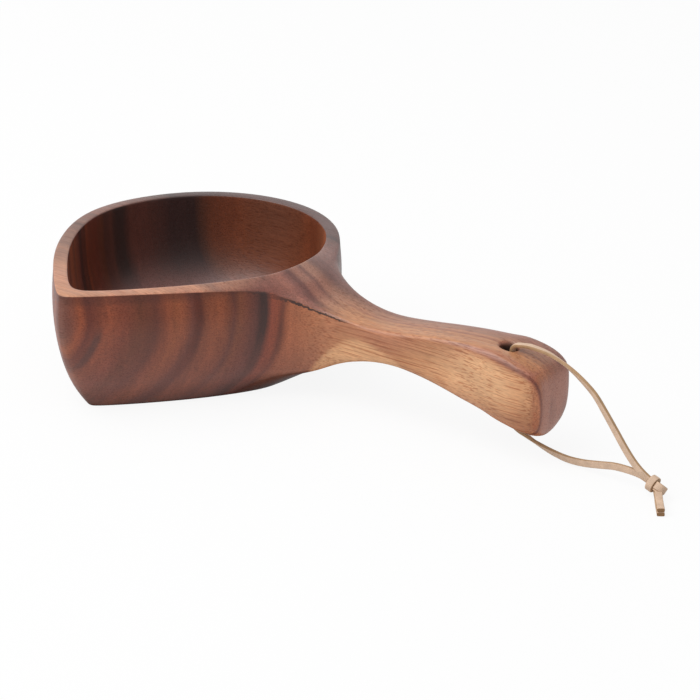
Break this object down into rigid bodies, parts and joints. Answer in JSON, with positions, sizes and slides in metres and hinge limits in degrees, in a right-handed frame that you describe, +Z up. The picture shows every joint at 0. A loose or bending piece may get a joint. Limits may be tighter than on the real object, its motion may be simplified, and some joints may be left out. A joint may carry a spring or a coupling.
{
  "type": "gravy ladle",
  "caption": "Carved wooden gravy ladle: round bowl drawn out to a pouring spout, flared side grip with a hanging hole and a knotted leather thong loop.",
  "frame": {"origin": "middle of the bowl's circle, on the flat base that stands on the table", "axes": "+X along the grip away from the bowl, +Z up; the pouring spout points to -Y"},
  "size_m": [0.3093, 0.1511, 0.0545],
  "materials": {
    "acacia": "satin oil",
    "leather": "natural, undyed"
  },
  "bodies": {
    "ladle": {"ladle_body": "acacia"},
    "thong": {"leather_thong": "leather"}
  },
  "joints": [
    {"name": "thong_swing", "type": "hinge", "parent": "ladle", "child": "thong", "pos_m": [0.1617, 0, 0.03], "axis": [0, 0, 1], "range_deg": [-110, 110]}
  ]
}
